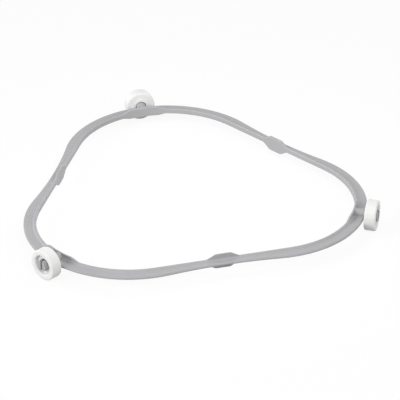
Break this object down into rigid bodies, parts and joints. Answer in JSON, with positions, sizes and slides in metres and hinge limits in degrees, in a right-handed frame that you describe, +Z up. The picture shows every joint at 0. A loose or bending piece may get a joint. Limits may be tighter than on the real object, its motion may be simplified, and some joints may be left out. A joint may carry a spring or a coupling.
{
  "type": "microwave roller ring",
  "caption": "Three-lobed moulded ring with stub pins that carry loose rollers; it runs in a microwave oven's floor track and carries the turntable tray.",
  "frame": {"origin": "on the ring's axis at the level of the floor that the rollers stand on", "axes": "+Z up along the ring's axis, +Y towards the back roller, +X to the right"},
  "size_m": [0.2046, 0.1974, 0.018],
  "materials": {
    "grey_plastic": "satin",
    "white_plastic": "satin"
  },
  "bodies": {
    "frame": {"ring_frame": "grey_plastic"},
    "back_roller": {"roller_back": "white_plastic"},
    "left_roller": {"roller_left": "white_plastic"},
    "right_roller": {"roller_right": "white_plastic"}
  },
  "joints": [
    {"name": "back_roller_spin", "type": "hinge", "parent": "frame", "child": "back_roller", "pos_m": [0, 0.10995, 0.009], "axis": [0, 1, 0], "continuous": true},
    {"name": "left_roller_spin", "type": "hinge", "parent": "frame", "child": "left_roller", "pos_m": [-0.09522, -0.05498, 0.009], "axis": [-0.866, -0.5, 0], "continuous": true},
    {"name": "right_roller_spin", "type": "hinge", "parent": "frame", "child": "right_roller", "pos_m": [0.09522, -0.05498, 0.009], "axis": [0.866, -0.5, 0], "continuous": true}
  ]
}
